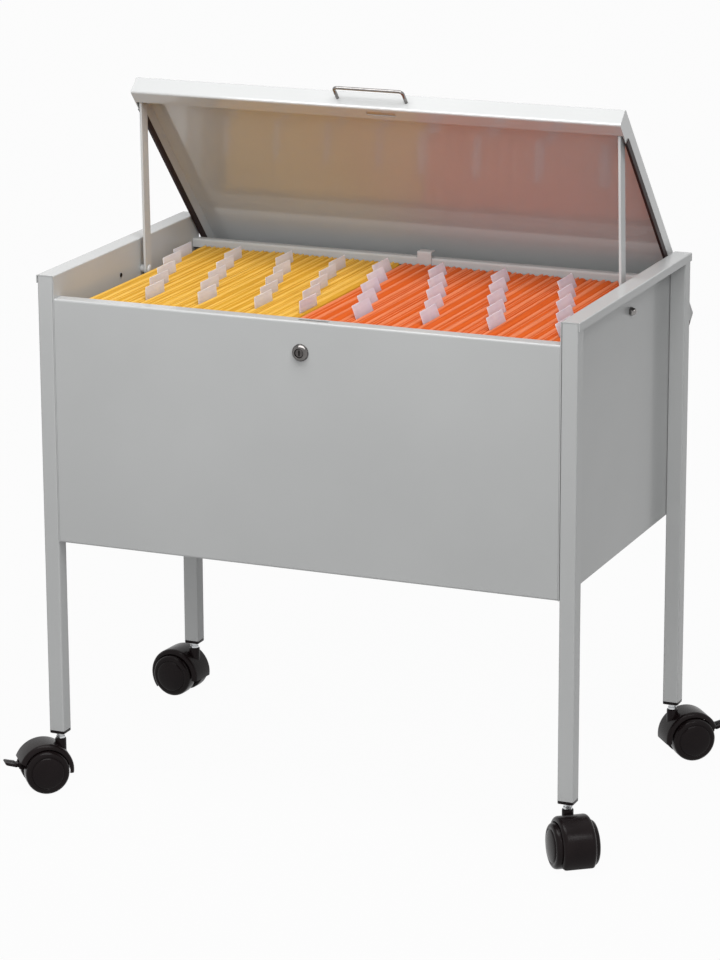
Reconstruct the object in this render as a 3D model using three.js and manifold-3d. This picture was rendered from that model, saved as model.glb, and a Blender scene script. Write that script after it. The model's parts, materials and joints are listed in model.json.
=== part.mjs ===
import * as THREE from 'three';
import { mergeVertices } from 'three/addons/utils/BufferGeometryUtils.js';
import Module from 'manifold-3d';

// Driving dimensions of the frame, millimetres
const frameWidth = 692;
const frameDepth = 412;
const railTop = 656.5;
const legBottom = 76.5;
const legSize = 20;
const legWall = 1.5;
const legCorner = 1.6;
const sheet = 1.2;
const sheetBend = 1.8;
const seat = 0.3;
const capBend = 0.9;

// Panels
const panelBottom = 322.7;
const capLip = 10;
const frontDrop = 28;
const backDrop = 30.2;
const flangeDepth = 20;
const backLip = 11;
const frontLip = 11;
const backBend = 9;
const sideFlange = 12;
const sideFlangeStart = 22;
const bottomFlange = 15;
const trayEdge = 14;
const trayBend = 2;

// Lid and its links
const lidLength = 411;
const lidSideGap = 4;
const lidDepth = 25;
const lidClosedDrop = 2.7;
const lidFrontInset = 0.8;
const lidReturn = 20;
const lidBend = 2.2;
const skirtDepth = 21;
const skirtCorner = 34;
const stripOverlap = 4;
const stripWall = 0.8;
const stripEnd = 2;
const lidTilt = 48;
const guideGap = 2.1;
const linkPivotY = 36;
const linkPivotDrop = 39.6;
const linkPinSetback = 25;
const linkPinDepth = 16.5;
const linkWidth = 16;
const linkThickness = 3;
const linkStandoff = 6.2;
const standoffRadius = 5;
const linkLean = 2;
const pinRadius = 3;
const headRadius = 5.5;
const headHeight = 2.6;
const padRadius = 3.2;
const padDepth = 2.2;
const padY = -24;
const padDrop = 36;

// Handle
const handleLength = 90;
const handleReach = 24;
const handleRadius = 2.3;
const handleCorner = 8;

// Lock
const lockDrop = 65.5;
const lockHead = 10.5;
const lockHeadLength = 5.2;
const lockBody = 8;
const lockPlug = 5.4;
const lockNut = 11.5;
const lockNutLength = 3.6;
const camFront = 9.5;
const camThickness = 2;
const camHub = 6.5;
const camWidth = 6;
const camReach = 45.5;
const camFinger = 9;
const slotLeft = -6;
const slotRight = 32;
const slotFront = 7.4;
const slotBack = 13.8;

// Hanging rails and keeper clip
const railThickness = 2.4;
const railHeight = 13;
const railDrop = 49.8;
const frontRailY = 14.5;
const backRailY = 15;
const clipLeft = -9.5;
const clipRight = 9.5;
const clipTop = 22;
const clipBottom = 40;
const clipDepth = 12;

// Folder blocks
const folderDrop = 36.5;
const folderHeight = 240;
const folderEnd = 24;
const folderRidge = 9;
const hookHeight = 7.5;
const hookWidth = 3;
const folderSideGap = 18.5;
const folderSplit = -27;
const folderSplitGap = 2;
const yellowCount = 20;
const orangeCount = 20;

// Casters
const wheelRadius = 28;
const wheelWidth = 18.7;
const wheelDome = 3;
const wheelSides = 24;
const axleRadius = 3;
const trail = 22;
const hoodRadius = 35;
const hoodWall = 2.6;
const hoodCrown = 33;
const hoodWidth = 40.4;
const hoodDrop = 3.3;
const hoodSides = 24;
const webThickness = 16;
const hubRadius = 8;
const bossRadius = 7;
const bossTop = 64.5;
const bossBottom = 42;
const stemRadius = 4;
const collarRadius = 5.6;
const plugBase = 4.2;
const plugInsert = 18;
const leverRoot = 9.4;
const leverWidth = 18;
const leverReach = 50;
const leverRise = 7;
const leverPin = 2;
const lugThickness = 2.8;
const lugHalf = 4;
const lugHeight = 15;
const headings = { fl: 219, fr: 307, br: 39, bl: 174 };

// Heights and planes that follow from the driving sizes
const front = -frameDepth / 2;
const back = frameDepth / 2;
const legInner = frameWidth / 2 - legSize;
const panelOuter = legInner - seat;
const panelInner = panelOuter - sheet;
const panelHalf = panelInner - seat;
const lidHalf = panelInner - lidSideGap;
const yellowLeft = folderSideGap - panelInner;
const yellowRight = folderSplit - folderSplitGap / 2;
const orangeLeft = folderSplit + folderSplitGap / 2;
const orangeRight = panelInner - folderSideGap;
const capOuter = frameWidth / 2 + seat + sheet;
const frontTop = railTop - frontDrop;
const backTop = railTop - backDrop;
const lockHeight = railTop - lockDrop;
const railHangTop = railTop - railDrop;
const folderTop = railTop - folderDrop;
const wheelCentre = wheelRadius * Math.cos(Math.PI / wheelSides);

// Lid linkage, solved for the open pose
const rad = Math.PI / 180;
const pivot = new THREE.Vector2(linkPivotY, railTop - linkPivotDrop);
const closedPin = new THREE.Vector2(
  front + lidFrontInset + linkPinSetback,
  railTop - lidClosedDrop - linkPinDepth,
);
const linkLength = pivot.distanceTo(closedPin);
const tilt = lidTilt * rad;
const lidNormal = new THREE.Vector2(Math.sin(tilt), Math.cos(tilt));
const guideCentre = new THREE.Vector2(back - backBend, backTop - backBend);
const pinOffset = guideCentre.dot(lidNormal) + backBend + guideGap + lidDepth - linkPinDepth;
const linkRaise = tilt + Math.asin((pinOffset - pivot.dot(lidNormal)) / linkLength);

// Booleans on closed meshes
const wasm = await Module();
wasm.setup();

function bare(geometry) {
  const copy = geometry.clone();
  for (const name of Object.keys(copy.attributes)) {
    if (name !== 'position') {
      copy.deleteAttribute(name);
    }
  }
  const merged = mergeVertices(copy, 1e-4);
  const index = merged.index.array;
  const kept = [];
  for (let i = 0; i < index.length; i += 3) {
    const [a, b, c] = [index[i], index[i + 1], index[i + 2]];
    if (a !== b && b !== c && c !== a) {
      kept.push(a, b, c);
    }
  }
  const p = merged.attributes.position;
  const corner = [new THREE.Vector3(), new THREE.Vector3(), new THREE.Vector3()];
  let volume = 0;
  for (let i = 0; i < kept.length; i += 3) {
    corner.forEach((v, k) => v.fromBufferAttribute(p, kept[i + k]));
    volume += corner[0].dot(corner[1].clone().cross(corner[2]));
  }
  if (volume < 0) {
    kept.reverse();
  }
  merged.setIndex(kept);
  return merged;
}

function solid(geometry) {
  const closed = bare(geometry);
  return new wasm.Manifold(new wasm.Mesh({
    numProp: 3,
    vertProperties: new Float32Array(closed.attributes.position.array),
    triVerts: new Uint32Array(closed.index.array),
  }));
}

function surface(body) {
  const mesh = body.getMesh();
  const geometry = new THREE.BufferGeometry();
  const points = new Float32Array(mesh.vertProperties);
  geometry.setAttribute('position', new THREE.BufferAttribute(points, 3));
  geometry.setIndex(new THREE.BufferAttribute(new Uint32Array(mesh.triVerts), 1));
  geometry.computeVertexNormals();
  return geometry;
}

function join(...parts) {
  return surface(wasm.Manifold.union(parts.map(solid)));
}

function cut(base, ...tools) {
  return surface(solid(base).subtract(wasm.Manifold.union(tools.map(solid))));
}

function overlap(a, b) {
  return surface(solid(a).intersect(solid(b)));
}

// Shape helpers: boxes, pins and extrusions along each axis
function box(x0, x1, y0, y1, z0, z1) {
  const geometry = new THREE.BoxGeometry(x1 - x0, y1 - y0, z1 - z0);
  return geometry.translate((x0 + x1) / 2, (y0 + y1) / 2, (z0 + z1) / 2);
}

function outline(points) {
  return new THREE.Shape(points.map(([u, v]) => new THREE.Vector2(u, v)));
}

function extrude(shape, depth) {
  return new THREE.ExtrudeGeometry(shape, { depth, bevelEnabled: false, curveSegments: 6 });
}

function alongX(shape, x0, x1) {
  const turn = new THREE.Matrix4().set(0, 0, 1, x0, 1, 0, 0, 0, 0, 1, 0, 0, 0, 0, 0, 1);
  return extrude(shape, x1 - x0).applyMatrix4(turn);
}

function alongY(shape, y0, y1) {
  const turn = new THREE.Matrix4().set(1, 0, 0, 0, 0, 0, -1, y1, 0, 1, 0, 0, 0, 0, 0, 1);
  return extrude(shape, y1 - y0).applyMatrix4(turn);
}

function alongZ(shape, z0, z1) {
  return extrude(shape, z1 - z0).translate(0, 0, z0);
}

function spun(points, sides, phase = 0) {
  const profile = points.map(([r, h]) => new THREE.Vector2(r, h));
  return new THREE.LatheGeometry(profile, sides, phase);
}

function pinX(radius, x0, x1, y, z, sides = 16) {
  const geometry = new THREE.CylinderGeometry(radius, radius, x1 - x0, sides);
  return geometry.rotateZ(-Math.PI / 2).translate((x0 + x1) / 2, y, z);
}

function pinY(radius, x, y0, y1, z, sides = 16) {
  const geometry = new THREE.CylinderGeometry(radius, radius, y1 - y0, sides);
  return geometry.translate(x, (y0 + y1) / 2, z);
}

function pinZ(radius, x, y, z0, z1, sides = 16) {
  const geometry = new THREE.CylinderGeometry(radius, radius, z1 - z0, sides);
  return geometry.rotateX(Math.PI / 2).translate(x, y, (z0 + z1) / 2);
}

function roundedSquare(half, corner) {
  const points = [];
  const inner = half - corner;
  for (let quarter = 0; quarter < 4; quarter += 1) {
    const cx = quarter === 0 || quarter === 3 ? inner : -inner;
    const cy = quarter < 2 ? inner : -inner;
    for (let k = 0; k <= 2; k += 1) {
      const angle = (quarter + k / 2) * Math.PI / 2;
      points.push([cx + corner * Math.cos(angle), cy + corner * Math.sin(angle)]);
    }
  }
  return outline(points);
}

// Bent strip: a centre line with rounded corners, given a thickness
function bentStrip(points, thickness, bends) {
  const line = [];
  const at = points.map(([u, v]) => new THREE.Vector2(u, v));
  at.forEach((here, i) => {
    if (i === 0 || i === at.length - 1) {
      line.push(here);
      return;
    }
    const bend = Array.isArray(bends) ? bends[i - 1] : bends;
    const before = at[i - 1].clone().sub(here).normalize();
    const after = at[i + 1].clone().sub(here).normalize();
    const half = Math.acos(THREE.MathUtils.clamp(before.dot(after), -1, 1)) / 2;
    const middle = before.clone().add(after).normalize();
    const centre = here.clone().addScaledVector(middle, bend / Math.sin(half));
    const start = here.clone().addScaledVector(before, bend / Math.tan(half)).sub(centre);
    const finish = here.clone().addScaledVector(after, bend / Math.tan(half)).sub(centre);
    const steps = bend > 5 ? 6 : 3;
    let sweep = finish.angle() - start.angle();
    sweep -= Math.round(sweep / (2 * Math.PI)) * 2 * Math.PI;
    for (let k = 0; k <= steps; k += 1) {
      const spoke = start.clone().rotateAround(new THREE.Vector2(), (sweep * k) / steps);
      line.push(spoke.add(centre));
    }
  });
  const left = [];
  const right = [];
  line.forEach((here, i) => {
    const into = i > 0 ? here.clone().sub(line[i - 1]).normalize() : null;
    const out = i < line.length - 1 ? line[i + 1].clone().sub(here).normalize() : null;
    const n1 = into ? new THREE.Vector2(-into.y, into.x) : new THREE.Vector2(-out.y, out.x);
    const n2 = out ? new THREE.Vector2(-out.y, out.x) : n1;
    const mitre = n1.clone().add(n2).normalize();
    const reach = thickness / 2 / mitre.dot(n1);
    left.push(here.clone().addScaledVector(mitre, reach));
    right.push(here.clone().addScaledVector(mitre, -reach));
  });
  return new THREE.Shape([...left, ...right.reverse()]);
}

// Materials
function paint(color, roughness, metalness = 0) {
  return new THREE.MeshStandardMaterial({ color, roughness, metalness });
}
const finishes = {
  grey: paint(0xb9bab9, 0.45),
  black: paint(0x1c191a, 0.45),
  chrome: paint(0xd0d2d4, 0.15, 1),
  steel: paint(0xb0b2b4, 0.3, 1),
  strip: paint(0x2e1f1f, 0.5),
  yellow: paint(0xf0b040, 0.7),
  orange: paint(0xe1601e, 0.7),
};

const assembly = new THREE.Group();
assembly.name = 'mobile_file_cart';
const body = new THREE.Group();
assembly.add(body);

function add(name, geometry, finish, parent = body) {
  const mesh = new THREE.Mesh(surface(solid(geometry)), finishes[finish].clone());
  mesh.name = name;
  parent.add(mesh);
  return mesh;
}

// Legs, plugs and caster stems at the four corners
const corners = {
  fl: [-1, front + legSize / 2],
  fr: [1, front + legSize / 2],
  bl: [-1, back - legSize / 2],
  br: [1, back - legSize / 2],
};
const legAxis = frameWidth / 2 - legSize / 2;
const plugBottom = legBottom - plugBase;
for (const [tag, [side, y]] of Object.entries(corners)) {
  const x = side * legAxis;
  const tube = roundedSquare(legSize / 2, legCorner);
  tube.holes.push(roundedSquare(legSize / 2 - legWall, 0.8));
  const leg = alongZ(tube, legBottom, railTop - sheet - seat).translate(x, y, 0);
  add(`leg_${tag}`, leg, 'grey');
  const insertHalf = legSize / 2 - legWall - seat;
  const plug = cut(
    join(
      alongZ(roundedSquare(legSize / 2, legCorner), plugBottom, legBottom - seat),
      alongZ(roundedSquare(insertHalf, 1), legBottom - seat, legBottom + plugInsert),
    ),
    pinZ(stemRadius + seat, 0, 0, plugBottom - 1, legBottom + plugInsert - 3),
  ).translate(x, y, 0);
  add(`leg_plug_${tag}`, plug, 'black');
  const stem = spun([
    [0, bossBottom + 3],
    [stemRadius, bossBottom + 3],
    [stemRadius, bossTop + seat],
    [collarRadius, bossTop + seat],
    [collarRadius, plugBottom - seat],
    [stemRadius, plugBottom - seat],
    [stemRadius, legBottom + plugInsert - 5],
    [0, legBottom + plugInsert - 5],
  ], 16).rotateX(Math.PI / 2).translate(x, y, 0);
  add(`stem_${tag}`, stem, 'steel');
}

// Side panels: sheet at the inner plane of the legs, cap over the leg tops, short outer lip
for (const [tag, side] of [['left', -1], ['right', 1]]) {
  const profile = bentStrip([
    [side * (panelInner + sheet / 2), panelBottom],
    [side * (panelInner + sheet / 2), railTop - sheet / 2],
    [side * (capOuter - sheet / 2), railTop - sheet / 2],
    [side * (capOuter - sheet / 2), railTop - capLip],
  ], sheet, capBend);
  const panel = cut(
    alongY(profile, front, back),
    pinX(pinRadius + seat, side * panelInner - 4, side * panelInner + 4, pivot.x, pivot.y),
  );
  add(`side_panel_${tag}`, panel, 'grey');
  const inner = side * (panelInner - seat);
  const foot = side * (panelInner - seat - padDepth);
  const pad = pinX(padRadius, Math.min(inner, foot), Math.max(inner, foot), padY, railTop - padDrop);
  add(`link_pad_${tag}`, pad, 'black');
}

// Front and back panels: folded at the top, the bottom and both ends
function endPanel(face, top, inward, lip, bend) {
  const at = (depth) => face + inward * depth;
  const profile = bentStrip([
    [at(bottomFlange), panelBottom + sheet / 2],
    [at(sheet / 2), panelBottom + sheet / 2],
    [at(sheet / 2), top - sheet / 2],
    [at(flangeDepth - sheet / 2), top - sheet / 2],
    [at(flangeDepth - sheet / 2), top - lip],
  ], sheet, [sheetBend, bend - sheet / 2, sheetBend]);
  const span = alongX(profile, -panelHalf, panelHalf);
  const y0 = Math.min(at(sheet / 2), at(sideFlange));
  const y1 = Math.max(at(sheet / 2), at(sideFlange));
  const low = panelBottom + sheet / 2;
  const high = top - sideFlangeStart;
  const left = box(-panelHalf, -panelHalf + sheet, y0, y1, low, high);
  const right = box(panelHalf - sheet, panelHalf, y0, y1, low, high);
  return join(span, left, right);
}
const latchSlot = (z) => box(slotLeft, slotRight, front + slotFront, front + slotBack, z - 4, z + 4);
const frontPanel = cut(
  endPanel(front, frontTop, 1, frontLip, sheetBend + sheet / 2),
  pinY(lockBody + seat, 0, front - 2, front + 4, lockHeight, 24),
  latchSlot(frontTop),
);
add('front_panel', frontPanel, 'grey');
add('back_panel', endPanel(back, backTop, -1, backLip, backBend), 'grey');

// Floor tray on the bottom flanges of the end panels
const trayZ = panelBottom + sheet + seat;
const trayHalf = panelHalf - sheet - 1;
const trayProfile = bentStrip([
  [front + sheet + seat + sheet / 2, trayZ + trayEdge],
  [front + sheet + seat + sheet / 2, trayZ + sheet / 2],
  [back - sheet - seat - sheet / 2, trayZ + sheet / 2],
  [back - sheet - seat - sheet / 2, trayZ + trayEdge],
], sheet, trayBend);
add('floor_tray', alongX(trayProfile, -trayHalf, trayHalf), 'grey');

// Hanging rails between the side panels
const railFront = front + frontRailY;
const railBack = back - backRailY - railThickness;
for (const [tag, y] of [['front', railFront], ['back', railBack]]) {
  const bar = box(-panelHalf, panelHalf, y, y + railThickness, railHangTop - railHeight, railHangTop);
  add(`hanging_rail_${tag}`, bar, 'steel');
}

// Keeper clip on the back strip
const stripFace = back - flangeDepth;
const clip = bentStrip([
  [stripFace - seat - sheet / 2, railTop - clipBottom],
  [stripFace - seat - sheet / 2, railTop - clipTop - sheet / 2],
  [stripFace - seat + clipDepth, railTop - clipTop - sheet / 2],
], sheet, sheetBend);
add('keeper_clip', alongX(clip, clipLeft, clipRight), 'grey');

// Pivot bolts and cap nuts of the lid links
const linkOuter = panelInner - seat - linkStandoff - seat;
const linkInner = linkOuter - linkThickness;
for (const [tag, side] of [['left', -1], ['right', 1]]) {
  const bolt = spun([
    [0, linkInner - seat - headHeight],
    [headRadius - 1, linkInner - seat - headHeight],
    [headRadius, linkInner - seat - headHeight + 0.8],
    [headRadius, linkInner - seat],
    [pinRadius, linkInner - seat],
    [pinRadius, linkOuter + seat],
    [standoffRadius, linkOuter + seat],
    [standoffRadius, panelInner - seat],
    [pinRadius, panelInner - seat],
    [pinRadius, panelOuter + 6],
    [0, panelOuter + 6],
  ], 16);
  bolt.rotateZ(-side * Math.PI / 2).translate(0, pivot.x, pivot.y);
  add(`pivot_bolt_${tag}`, bolt, 'steel');
  const dome = spun([
    [0, panelOuter + seat],
    [4.6, panelOuter + seat],
    [4.6, panelOuter + 4],
    [4.2, panelOuter + 5.6],
    [3.2, panelOuter + 7],
    [1.6, panelOuter + 8],
    [0, panelOuter + 8.3],
  ], 18);
  const hex = spun([
    [0, panelOuter + seat],
    [5.4, panelOuter + seat],
    [5.4, panelOuter + 3.4],
    [4.4, panelOuter + 4],
    [0, panelOuter + 4],
  ], 6);
  const bore = spun([
    [0, panelOuter],
    [pinRadius + seat, panelOuter],
    [pinRadius + seat, panelOuter + 6.3],
    [0, panelOuter + 6.3],
  ], 16);
  const nut = cut(join(dome, hex), bore);
  nut.rotateZ(-side * Math.PI / 2).translate(0, pivot.x, pivot.y);
  add(`cap_nut_${tag}`, nut, 'chrome');
}

// Lock barrel and ring nut
const lock = spun([
  [lockPlug, -lockHeadLength],
  [lockHead - 2, -lockHeadLength],
  [lockHead, -lockHeadLength + 2],
  [lockHead, -seat],
  [lockBody, -seat],
  [lockBody, camFront - 0.6],
  [lockPlug, camFront - 0.6],
  [lockPlug, -lockHeadLength],
], 28).translate(0, front, lockHeight);
add('lock_barrel', lock, 'chrome');
const ring = cut(
  pinY(lockNut, 0, front + sheet + seat, front + sheet + seat + lockNutLength, lockHeight, 6),
  pinY(lockBody + seat, 0, front, front + sheet + lockNutLength + 2, lockHeight, 28),
);
add('lock_nut', ring, 'steel');

// Turning plug with its key slot, and the hooked cam, drawn locked and then turned to rest
const lockGroup = new THREE.Group();
lockGroup.position.set(0, front, lockHeight);
body.add(lockGroup);
const spigot = 2.8;
const plugFace = -lockHeadLength - 0.4;
const plugBack = camFront - seat;
const turning = cut(
  spun([
    [0, plugFace],
    [lockPlug - seat, plugFace],
    [lockPlug - seat, plugBack],
    [spigot, plugBack],
    [spigot, camFront + camThickness + 0.8],
    [0, camFront + camThickness + 0.8],
  ], 24),
  box(-0.8, 0.8, plugFace - 1, plugFace + 5, -3.4, 3.4),
);
add('lock_plug', turning, 'steel', lockGroup);
const camRise = camReach - camWidth / 2;
const camShape = outline([
  [-camWidth / 2, 0],
  [camWidth / 2, 0],
  [camWidth / 2, camReach - 1],
  [camWidth / 2 - 1, camReach],
  [-camWidth / 2 - camFinger, camReach],
  [-camWidth / 2 - camFinger, camRise - 1],
  [-camWidth / 2, camRise - 1.4],
]);
const cam = cut(
  join(alongY(camShape, camFront, camFront + camThickness),
    pinY(camHub, 0, camFront, camFront + camThickness, 0, 24)),
  pinY(spigot + seat, 0, camFront - 1, camFront + camThickness + 1, 0, 24),
).rotateY(Math.PI / 2);
add('lock_cam', cam, 'steel', lockGroup);

// Lid links: flat bars swung about the shouldered pivot bolts
const links = new THREE.Group();
links.position.set(0, pivot.x, pivot.y);
links.rotation.x = -linkRaise;
body.add(links);
const linkEnd = linkWidth / 2;
for (const [tag, side] of [['left', -1], ['right', 1]]) {
  const mid = linkOuter - linkThickness / 2;
  const bar = alongZ(bentStrip([
    [side * mid, linkEnd],
    [side * (mid - linkLean), -linkLength - linkEnd],
  ], linkThickness, 8), -linkEnd, linkEnd);
  const ends = new THREE.Shape();
  ends.absarc(0, 0, linkEnd, -Math.PI / 2, Math.PI / 2, false);
  ends.absarc(-linkLength, 0, linkEnd, Math.PI / 2, Math.PI * 1.5, false);
  const tip = mid - linkLean;
  const near = side * (tip - 2 * linkThickness);
  const far = side * (mid + 2 * linkThickness);
  const rounded = alongX(ends, Math.min(near, far), Math.max(near, far));
  const link = cut(
    overlap(bar, rounded),
    pinX(pinRadius + seat, side * mid - linkEnd, side * mid + linkEnd, 0, 0),
    pinX(pinRadius + seat, side * tip - linkEnd, side * tip + linkEnd, -linkLength, 0),
  );
  add(`lid_link_${tag}`, link, 'grey', links);
}

// Lid, carried on the link ends
const lid = new THREE.Group();
lid.position.set(0, -linkLength, 0);
lid.rotation.x = linkRaise - tilt;
links.add(lid);
const lidTop = linkPinDepth;
const lidLow = lidTop - lidDepth;
const lidFront = -linkPinSetback;
const lidRear = lidFront + lidLength;
const lidProfile = bentStrip([
  [lidFront + lidReturn, lidLow + sheet / 2],
  [lidFront + sheet / 2, lidLow + sheet / 2],
  [lidFront + sheet / 2, lidTop - sheet / 2],
  [lidRear - sheet / 2, lidTop - sheet / 2],
  [lidRear - sheet / 2, lidLow],
], sheet, lidBend);
const skirtLow = lidTop - skirtDepth;
const skirt = outline([
  [lidFront + sheet / 2, lidTop - sheet - 1],
  [lidFront + sheet / 2, lidLow + sheet + 1],
  [lidFront + sheet + 2, lidLow],
  [lidFront + skirtCorner, lidLow],
  [lidFront + skirtCorner, skirtLow],
  [lidRear - sheet / 2, skirtLow],
  [lidRear - sheet / 2, lidTop - sheet - 1],
  [lidRear - sheet - 1.6, lidTop - sheet / 2],
  [lidFront + sheet + 1.6, lidTop - sheet / 2],
]);
const lidTray = cut(
  join(
    alongX(lidProfile, -lidHalf, lidHalf),
    alongX(skirt, -lidHalf, -lidHalf + sheet),
    alongX(skirt, lidHalf - sheet, lidHalf),
  ),
  box(slotLeft, slotRight, lidFront + slotFront - lidFrontInset, lidFront + slotBack - lidFrontInset,
    lidLow - 3, lidLow + 3),
);
add('lid_tray', lidTray, 'grey', lid);

for (const [tag, side] of [['left', -1], ['right', 1]]) {
  const outer = lidHalf + seat + stripWall;
  const inner = lidHalf - sheet - seat - stripWall;
  const channel = outline([
    [side * inner, lidLow],
    [side * outer, lidLow],
    [side * outer, skirtLow + stripOverlap],
    [side * (lidHalf + seat), skirtLow + stripOverlap],
    [side * (lidHalf + seat), skirtLow - seat],
    [side * (lidHalf - sheet - seat), skirtLow - seat],
    [side * (lidHalf - sheet - seat), skirtLow + stripOverlap],
    [side * inner, skirtLow + stripOverlap],
  ]);
  const strip = alongY(channel, lidFront + skirtCorner + seat, lidRear - sheet - stripEnd);
  add(`glide_strip_${tag}`, strip, 'strip', lid);

  // Stud that joins the link end to the lid's front corner
  const linkTop = linkOuter - linkLean;
  const stud = spun([
    [0, linkTop - linkThickness - 0.5 - headHeight],
    [headRadius - 1, linkTop - linkThickness - 0.5 - headHeight],
    [headRadius, linkTop - linkThickness - 0.5 - headHeight + 0.8],
    [headRadius, linkTop - linkThickness - 0.5],
    [pinRadius - 0.1, linkTop - linkThickness - 0.5],
    [pinRadius - 0.1, linkTop + 0.5],
    [headRadius, linkTop + 0.5],
    [headRadius, lidHalf - sheet - seat],
    [0, lidHalf - sheet - seat],
  ], 16).rotateZ(-side * Math.PI / 2);
  add(`link_stud_${tag}`, stud, 'steel', lid);
}

// Wire handle on the lid's front lip
const grip = new THREE.CurvePath();
const hz = lidTop - lidDepth / 2;
const foot = lidFront - seat;
const reach = lidFront - handleReach;
const hx = handleLength / 2;
const bendPoint = (x, y) => new THREE.Vector3(x, y, hz);
grip.add(new THREE.LineCurve3(bendPoint(-hx, foot), bendPoint(-hx, reach + handleCorner)));
grip.add(new THREE.QuadraticBezierCurve3(
  bendPoint(-hx, reach + handleCorner), bendPoint(-hx, reach), bendPoint(-hx + handleCorner, reach)));
grip.add(new THREE.LineCurve3(bendPoint(-hx + handleCorner, reach), bendPoint(hx - handleCorner, reach)));
grip.add(new THREE.QuadraticBezierCurve3(
  bendPoint(hx - handleCorner, reach), bendPoint(hx, reach), bendPoint(hx, reach + handleCorner)));
grip.add(new THREE.LineCurve3(bendPoint(hx, reach + handleCorner), bendPoint(hx, foot)));
const wire = new THREE.Shape().absarc(0, 0, handleRadius, 0, Math.PI * 2, false);
const bow = new THREE.ExtrudeGeometry(wire, { steps: 36, extrudePath: grip, curveSegments: 5 });
add('lid_handle', bow, 'chrome', lid);

// Folder blocks: ridged tops, with hook bars reaching over the hanging rails
function folders(left, right, count) {
  const pitch = (right - left) / count;
  const points = [[left, folderTop - folderHeight]];
  for (let i = 0; i < count; i += 1) {
    const x = left + i * pitch;
    points.push([x, folderTop - folderRidge]);
    points.push([x + pitch * 0.3, folderTop]);
    points.push([x + pitch * 0.7, folderTop]);
  }
  points.push([right, folderTop - folderRidge]);
  points.push([right, folderTop - folderHeight]);
  const block = alongY(outline(points), front + folderEnd, back - folderEnd);
  const bars = [];
  for (let i = 0; i < count; i += 1) {
    const x = left + (i + 0.5) * pitch;
    bars.push(box(x - hookWidth / 2, x + hookWidth / 2, railFront - 1.2, railBack + railThickness + 1.2,
      railHangTop + seat, railHangTop + seat + hookHeight));
  }
  return join(block, ...bars);
}
add('yellow_folders', folders(yellowLeft, yellowRight, yellowCount), 'yellow');
add('orange_folders', folders(orangeLeft, orangeRight, orangeCount), 'orange');

// Casters: hood on the stem, axle and two wheels, brake lever on two of them
const noseAngle = 188 * rad;
const brakeTail = 22 * rad;
const plainTail = -38 * rad;
const hoodInner = hoodRadius - hoodWall;
const leverPivot = [trail + hoodInner * Math.cos(brakeTail) - 0.8, wheelCentre + leverRise];
function hood(braked) {
  const tail = braked ? brakeTail : plainTail;
  const crown = hoodCrown / 2;
  const edge = hoodWidth / 2;
  const ring = spun([
    [hoodRadius, -crown],
    [hoodRadius, crown],
    [hoodRadius - hoodDrop, edge],
    [hoodInner - hoodDrop, edge],
    [hoodInner, crown - 0.8],
    [hoodInner, 0.8 - crown],
    [hoodInner - hoodDrop, -edge],
    [hoodRadius - hoodDrop, -edge],
    [hoodRadius, -crown],
  ], hoodSides).translate(trail, 0, wheelCentre);
  const sector = new THREE.Shape();
  sector.absarc(trail, wheelCentre, hoodRadius * 1.5, tail, noseAngle, false);
  sector.lineTo(trail, wheelCentre);
  const web = new THREE.Shape();
  web.absarc(trail, wheelCentre, hoodInner + 1, braked ? 50 * rad : 10 * rad, 176 * rad, false);
  web.absarc(trail, wheelCentre, hubRadius, Math.PI * 0.95, Math.PI * 2.05, false);
  const parts = [
    overlap(ring, alongY(sector, -hoodWidth, hoodWidth)),
    alongY(web, -webThickness / 2, webThickness / 2),
    pinZ(bossRadius, 0, 0, bossBottom, bossTop, 16),
  ];
  const bores = [
    pinZ(stemRadius + seat, 0, 0, bossBottom + 2.4, bossTop + 1),
    pinY(axleRadius + seat, trail, -webThickness, webThickness, wheelCentre),
  ];
  if (braked) {
    const inside = leverRoot / 2 + seat;
    const [px, pz] = leverPivot;
    for (const side of [-1, 1]) {
      const y0 = Math.min(side * inside, side * (inside + lugThickness));
      const lug = outline([
        [px - lugHalf, pz - lugHalf],
        [px + lugHalf, pz - lugHalf],
        [px + lugHalf, pz + lugHalf / 2],
        [px + lugHalf * 0.4, pz + lugHeight / 2],
        [px - lugHalf, pz + lugHeight],
      ]);
      parts.push(alongY(lug, y0, y0 + lugThickness));
    }
    bores.push(pinY(leverPin + seat, px, -inside - lugThickness - 1, inside + lugThickness + 1, pz, 16));
  }
  return cut(join(...parts), ...bores);
}
const wheelNear = webThickness / 2 + seat;
const wheelFar = wheelNear + wheelWidth;
const axleHalf = wheelFar - 2.5;
function wheel(side) {
  const bore = axleRadius + seat;
  const rim = [
    [0, axleHalf + seat],
    [bore, axleHalf + seat],
    [bore, wheelNear],
    [wheelRadius - 1.5, wheelNear],
    [wheelRadius, wheelNear + 1.5],
    [wheelRadius, wheelFar - 3.5],
    [wheelRadius - 3.5, wheelFar],
    [wheelRadius - 4.5, wheelFar - 0.6],
    [wheelRadius - 13, wheelFar + wheelDome * 0.75],
    [0, wheelFar + wheelDome],
  ].map(([r, h]) => [r, side * h]);
  return spun(rim, wheelSides, Math.PI / wheelSides).translate(trail, 0, wheelCentre);
}
function lever() {
  const [px, pz] = leverPivot;
  const tip = trail + leverReach;
  const arm = outline([
    [px - 3.2, pz - 2],
    [px, pz - 3.4],
    [px + 6, pz - 2],
    [tip - 2, pz + 2.4],
    [tip - 2, pz + 6],
    [px + 6, pz + 2.6],
    [px, pz + 3.4],
    [px - 3.2, pz + 2],
  ]);
  const pad = outline([
    [px + 6, pz - 2],
    [tip, pz + 2.8],
    [tip + 0.8, pz + 4.8],
    [tip - 0.4, pz + 6.4],
    [px + 6, pz + 2.6],
  ]);
  const length = leverRoot / 2 + seat + lugThickness;
  return join(
    alongY(arm, -leverRoot / 2, leverRoot / 2),
    alongY(pad, -leverWidth / 2, leverWidth / 2),
    pinY(leverPin, px, -length, length, pz, 16),
  );
}
const braked = ['fl', 'br'];
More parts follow.
